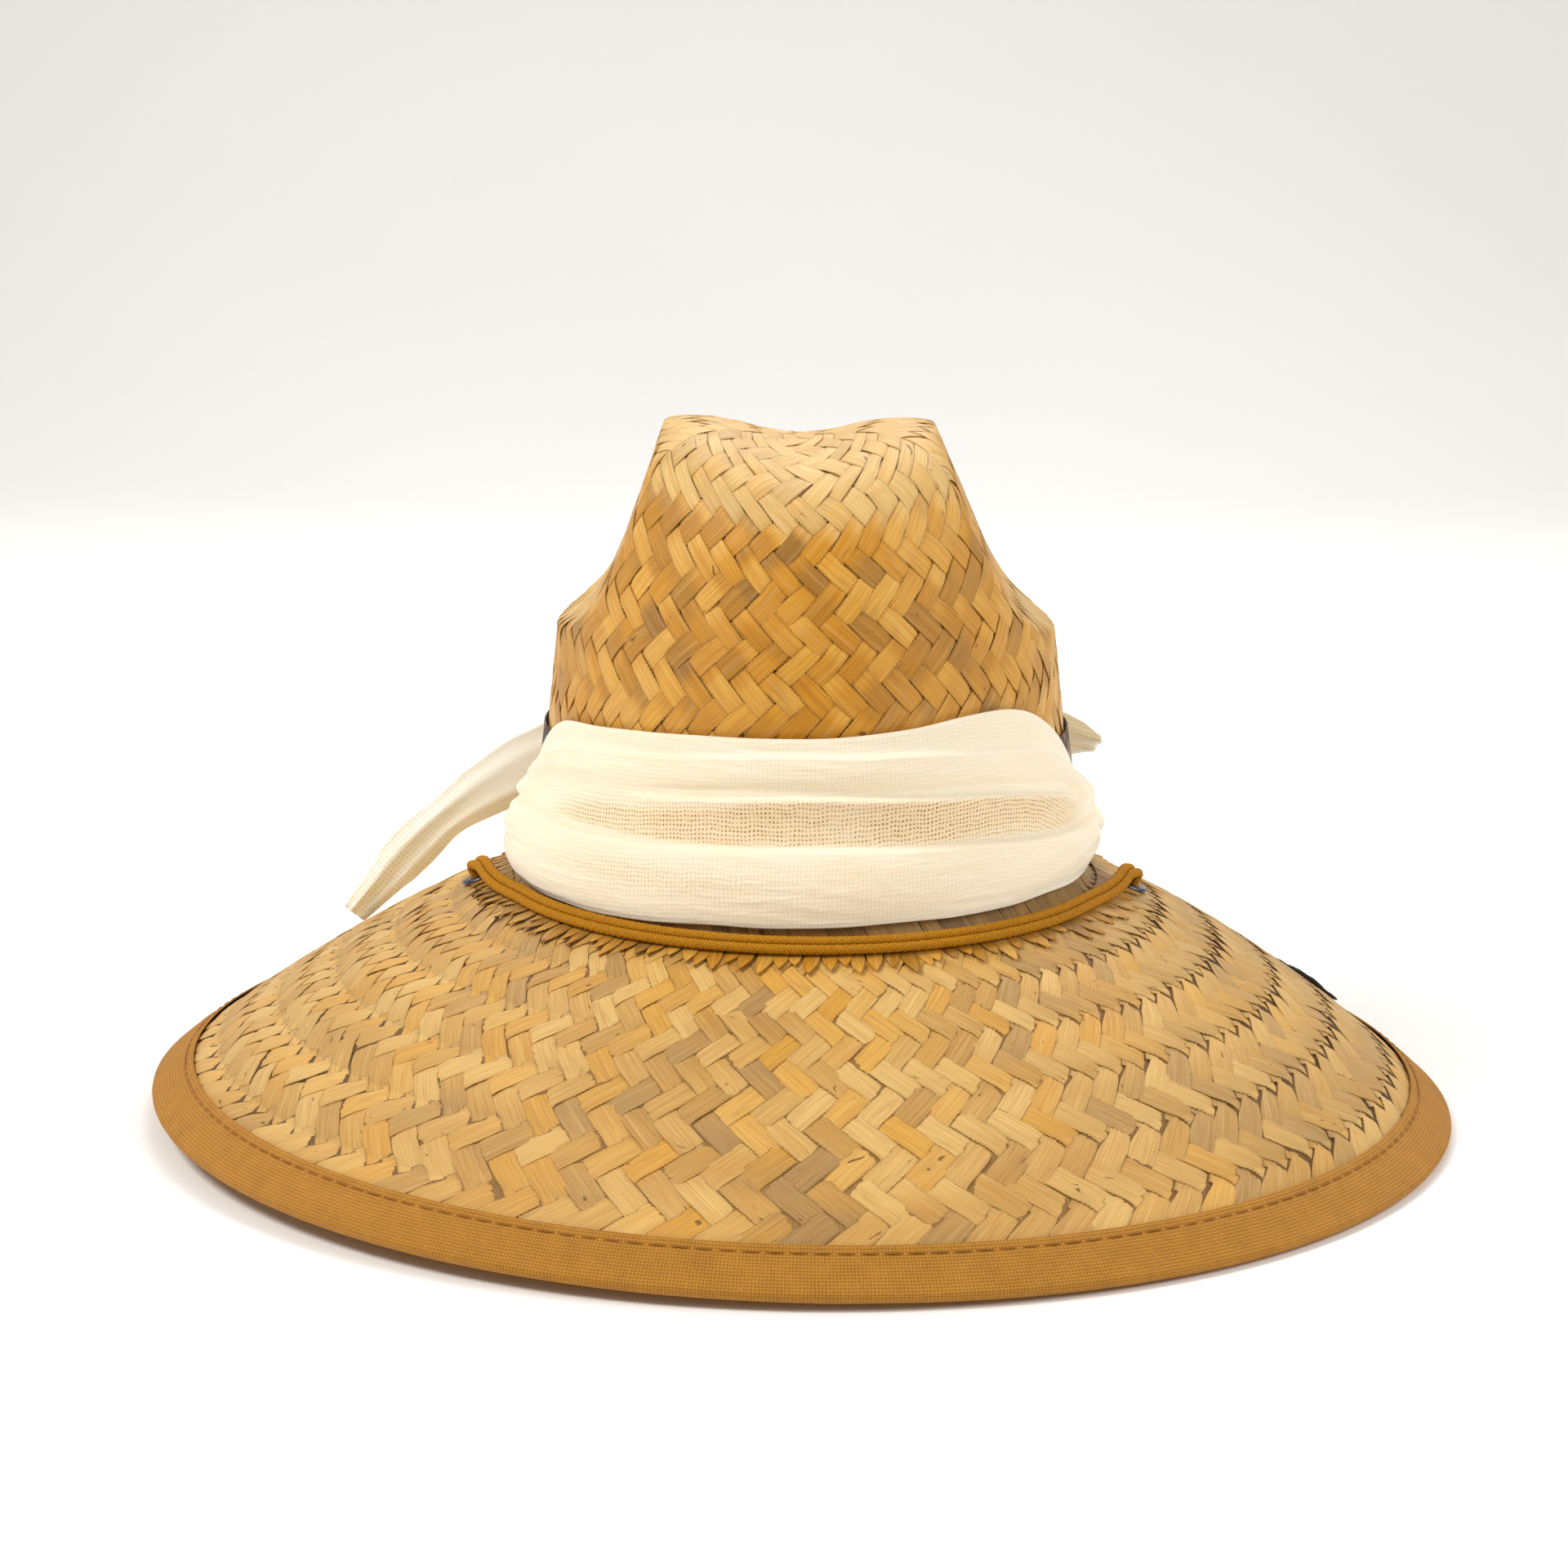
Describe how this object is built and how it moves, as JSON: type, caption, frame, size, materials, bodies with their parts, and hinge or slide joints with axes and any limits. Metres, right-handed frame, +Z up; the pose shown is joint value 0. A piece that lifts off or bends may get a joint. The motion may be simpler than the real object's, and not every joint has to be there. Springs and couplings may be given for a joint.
{
  "type": "wide-brim straw sun hat",
  "caption": "Woven straw sun hat: pinched crown, sloping conical brim with bound edge, tied gauze scarf over a printed ribbon, and a corded chin strap that swings.",
  "frame": {"origin": "centre of the head opening, in the plane where the crown meets the brim", "axes": "+Z up through the crown, -Y out of the front of the hat, +X to the hat's right as seen from in front"},
  "size_m": [0.4116, 0.4474, 0.22],
  "materials": {
    "straw": "satin woven palm leaf",
    "tape": "matt canvas tape",
    "thread": "waxed thread",
    "ribbon": "printed ribbon",
    "gauze": "open cotton gauze",
    "sweatband": "brushed cotton",
    "eyelet": "gunmetal",
    "cord": "braided cord",
    "bead": "turned and waxed",
    "patch": "woven patch"
  },
  "bodies": {
    "hat": {"straw_crown": "straw", "straw_brim": "straw", "brim_binding": "tape", "binding_stitches": "thread", "sweatband": "sweatband", "sweatband_stitches": "thread", "hat_band": "ribbon", "hat_band_tacks": "thread", "scarf_wrap": "gauze", "scarf_knot": "gauze", "eyelet_left": "eyelet", "eyelet_right": "eyelet", "eyelet_washer_left": "eyelet", "eyelet_washer_right": "eyelet", "chin_cord_front": "cord", "brim_patch": "patch", "patch_stitches": "thread"},
    "cord_loop": {"chin_cord_loop": "cord", "cord_end_knot": "cord"},
    "slider": {"cord_slider": "bead"},
    "tail_long": {"scarf_tail_long": "gauze"},
    "tail_short": {"scarf_tail_short": "gauze"}
  },
  "joints": [
    {"name": "loop_swing", "type": "hinge", "parent": "hat", "child": "cord_loop", "pos_m": [0, 0, -0.0154], "axis": [1, 0, 0], "range_deg": [-95, 0]},
    {"name": "slider_travel", "type": "slide", "parent": "cord_loop", "child": "slider", "axis": [0, 0.9619, -0.2733], "range_m": [-0.006, 0.08]},
    {"name": "long_tail_flap", "type": "hinge", "parent": "hat", "child": "tail_long", "pos_m": [-0.015, 0.11626, 0], "axis": [0, 0, -1], "range_deg": [0, 40]},
    {"name": "short_tail_flap", "type": "hinge", "parent": "hat", "child": "tail_short", "pos_m": [0.015, 0.11626, 0], "axis": [0, 0, 1], "range_deg": [0, 40]}
  ]
}
